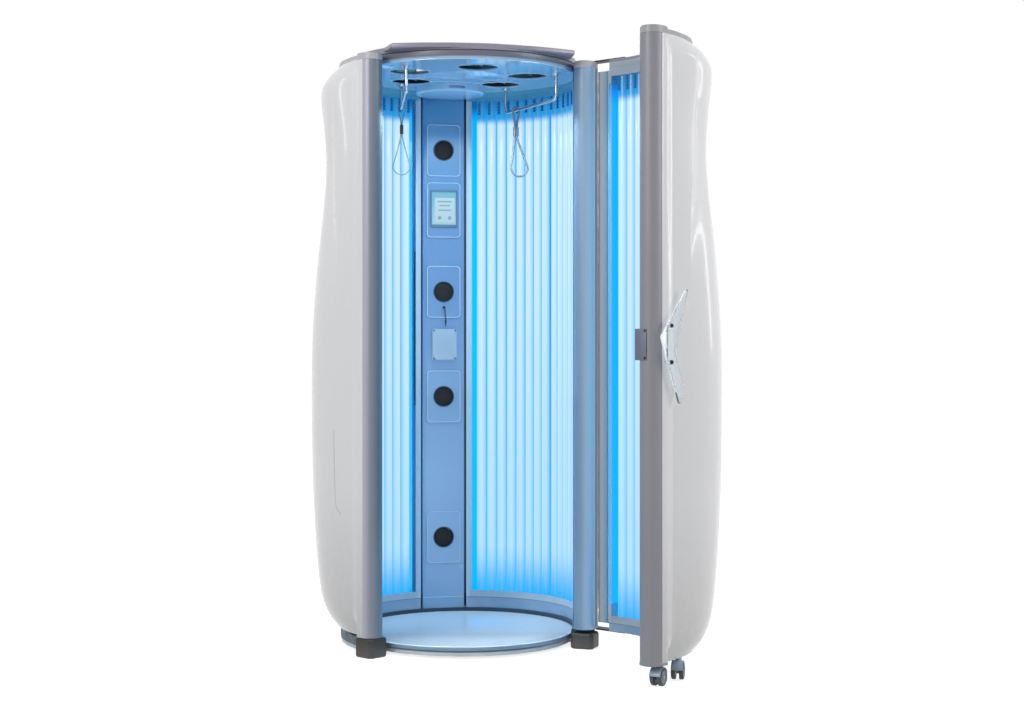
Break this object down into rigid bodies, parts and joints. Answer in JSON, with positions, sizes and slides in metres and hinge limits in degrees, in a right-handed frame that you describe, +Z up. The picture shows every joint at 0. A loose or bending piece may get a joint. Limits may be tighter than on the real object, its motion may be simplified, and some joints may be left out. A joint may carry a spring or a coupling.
{
  "type": "vertical tanning booth",
  "caption": "Round stand-up tanning booth: curved lamp walls, hinged lamp door on castors, control column, fan ceiling, grab bars with straps and white outer shells.",
  "frame": {"origin": "centre of the standing platform, at floor level under the base frame's centre pad", "axes": "+Z up, +Y towards the control column at the back, +X to the side where the door is hinged"},
  "size_m": [1.3209, 1.639, 2.165],
  "materials": {
    "dark_steel": "satin",
    "foot_plastic": "matte",
    "platform_acrylic": "gloss",
    "post_alu": "satin",
    "cap_grey": "satin",
    "sheet_grey": "satin",
    "lamp_glass": "gloss",
    "reflector_alu": "gloss",
    "column_panel": "satin",
    "speaker_black": "matte",
    "display_glass": "gloss",
    "clear_acrylic": "gloss",
    "lead_rubber": "matte",
    "fascia_silver": "satin",
    "rotor_plastic": "satin",
    "shell_white": "gloss",
    "bar_chrome": "polished",
    "strap_wire": "satin",
    "crimp_steel": "satin",
    "crimp_black": "matte",
    "catch_steel": "satin",
    "castor_body": "satin",
    "castor_tread": "matte"
  },
  "bodies": {
    "cabinet": {"base_frame": "dark_steel", "platform": "platform_acrylic", "foot_front_right": "foot_plastic", "foot_front_left": "foot_plastic", "foot_rear_right": "foot_plastic", "foot_rear_left": "foot_plastic", "post_left": "post_alu", "post_right": "post_alu", "surround_right": "sheet_grey", "surround_left": "sheet_grey", "lamp_bank_right": "lamp_glass", "lamp_bank_left": "lamp_glass", "reflector_right": "reflector_alu", "reflector_left": "reflector_alu", "column": "column_panel", "speaker_1": "speaker_black", "speaker_2": "speaker_black", "speaker_3": "speaker_black", "speaker_4": "speaker_black", "display": "display_glass", "phone_pocket": "clear_acrylic", "audio_lead": "lead_rubber", "control_box": "sheet_grey", "ceiling": "column_panel", "air_outlet": "column_panel", "fascia": "fascia_silver", "fan_tray": "dark_steel", "roof_cover": "cap_grey", "shell_right": "shell_white", "shell_left": "shell_white", "back_panel": "shell_white", "wall_cap": "cap_grey", "grab_bar_right": "bar_chrome", "grab_bar_left": "bar_chrome", "hinge_pin_top": "bar_chrome", "hinge_pin_bottom": "bar_chrome"},
    "door": {"hinge_plate_top": "dark_steel", "hinge_plate_bottom": "dark_steel", "door_post": "post_alu", "door_cap": "cap_grey", "door_surround": "sheet_grey", "door_lamp_bank": "lamp_glass", "door_reflector": "reflector_alu", "door_base": "dark_steel", "door_shell": "shell_white", "door_handle": "clear_acrylic", "catch_plate": "catch_steel"},
    "castor_1": {"castor_fork_1": "castor_body"},
    "castor_1_wheels": {"castor_wheels_1": "castor_tread"},
    "castor_2": {"castor_fork_2": "castor_body"},
    "castor_2_wheels": {"castor_wheels_2": "castor_tread"},
    "strap_right": {"strap_right": "strap_wire", "strap_crimp_right": "crimp_steel"},
    "strap_left": {"strap_left": "strap_wire", "strap_crimp_left": "crimp_black"},
    "fan_1": {"fan_rotor_1": "rotor_plastic"},
    "fan_2": {"fan_rotor_2": "rotor_plastic"},
    "fan_3": {"fan_rotor_3": "rotor_plastic"},
    "fan_4": {"fan_rotor_4": "rotor_plastic"},
    "fan_5": {"fan_rotor_5": "rotor_plastic"}
  },
  "joints": [
    {"name": "door_hinge", "type": "hinge", "parent": "cabinet", "child": "door", "pos_m": [0.431, -0.22, 1.1], "axis": [0, 0, 1], "range_deg": [-80.5, 12]},
    {"name": "castor_1_swivel", "type": "hinge", "parent": "door", "child": "castor_1", "pos_m": [0.44495, -0.98181, 0.065], "axis": [0, 0, 1], "continuous": true},
    {"name": "castor_1_roll", "type": "hinge", "parent": "castor_1", "child": "castor_1_wheels", "pos_m": [0.43577, -0.99238, 0.029], "axis": [-0.7547, 0.6561, 0], "continuous": true},
    {"name": "castor_2_swivel", "type": "hinge", "parent": "door", "child": "castor_2", "pos_m": [0.53854, -0.891, 0.065], "axis": [0, 0, 1], "continuous": true},
    {"name": "castor_2_roll", "type": "hinge", "parent": "castor_2", "child": "castor_2_wheels", "pos_m": [0.53251, -0.90364, 0.029], "axis": [-0.9026, 0.4305, 0], "continuous": true},
    {"name": "strap_right_swing", "type": "hinge", "parent": "cabinet", "child": "strap_right", "pos_m": [0.23621, 0.15677, 2.012], "axis": [-0.2209, 0.9753, 0], "range_deg": [-24, 45]},
    {"name": "strap_left_swing", "type": "hinge", "parent": "cabinet", "child": "strap_left", "pos_m": [-0.20556, 0.19356, 2.012], "axis": [0.1276, 0.9918, 0], "range_deg": [-45, 24]},
    {"name": "fan_1_spin", "type": "hinge", "parent": "cabinet", "child": "fan_1", "pos_m": [0.17464, 0.15725, 2.125], "axis": [0, 0, 1], "continuous": true},
    {"name": "fan_2_spin", "type": "hinge", "parent": "cabinet", "child": "fan_2", "pos_m": [-0.17464, 0.15725, 2.125], "axis": [0, 0, 1], "continuous": true},
    {"name": "fan_3_spin", "type": "hinge", "parent": "cabinet", "child": "fan_3", "pos_m": [-0.2222, -0.07651, 2.125], "axis": [0, 0, 1], "continuous": true},
    {"name": "fan_4_spin", "type": "hinge", "parent": "cabinet", "child": "fan_4", "pos_m": [0, -0.235, 2.125], "axis": [0, 0, 1], "continuous": true},
    {"name": "fan_5_spin", "type": "hinge", "parent": "cabinet", "child": "fan_5", "pos_m": [0.2222, -0.07651, 2.125], "axis": [0, 0, 1], "continuous": true}
  ]
}
